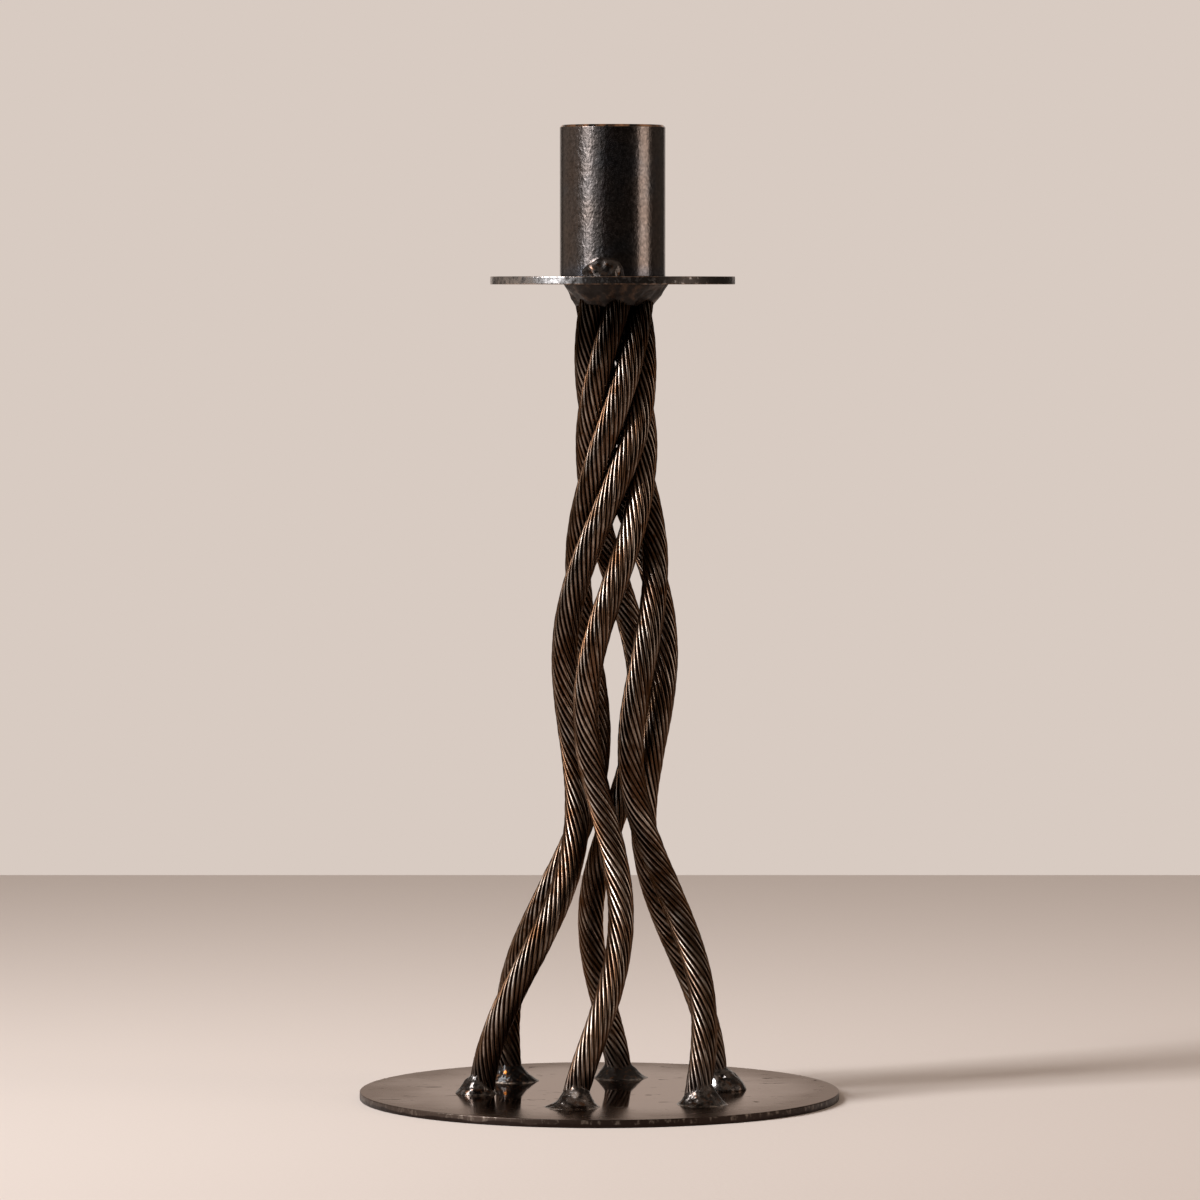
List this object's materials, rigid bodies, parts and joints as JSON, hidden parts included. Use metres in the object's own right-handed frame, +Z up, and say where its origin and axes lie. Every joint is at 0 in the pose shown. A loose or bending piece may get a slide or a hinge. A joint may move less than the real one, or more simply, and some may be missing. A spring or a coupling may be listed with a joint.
{
  "type": "candlestick",
  "caption": "Blackened steel candlestick: unlaid wire rope strands rise from a round plate, close into a twisted stem and carry a drip pan and a tube cup for a dinner candle.",
  "frame": {"origin": "centre of the base plate's underside, on the table", "axes": "+Z up the stem to the candle cup, -Y the side that the picture shows, +X to the right there"},
  "size_m": [0.12, 0.12, 0.2431],
  "materials": {
    "plate_steel": "waxed hot-rolled steel sheet, satin, dark brown-grey",
    "rope_steel": "blackened steel wire, brown in the lays, worn bright on the crowns",
    "weld_metal": "glossy blackened weld bead",
    "scaled_weld": "dull brown-black weld scale",
    "pan_steel": "blackened steel sheet, cut edge mottled bright",
    "cup_steel": "blackened steel tube, half gloss, rim worn to bare metal"
  },
  "bodies": {
    "root": {"base_plate": "plate_steel", "strand_1": "rope_steel", "strand_2": "rope_steel", "strand_3": "rope_steel", "strand_4": "rope_steel", "strand_5": "rope_steel", "strand_6": "rope_steel", "foot_weld_1": "weld_metal", "foot_weld_2": "weld_metal", "foot_weld_3": "weld_metal", "foot_weld_4": "weld_metal", "foot_weld_5": "weld_metal", "foot_weld_6": "weld_metal", "top_weld": "scaled_weld", "drip_pan": "pan_steel", "candle_cup": "cup_steel", "cup_tack_front": "weld_metal", "cup_tack_rear": "weld_metal"}
  },
  "joints": []
}
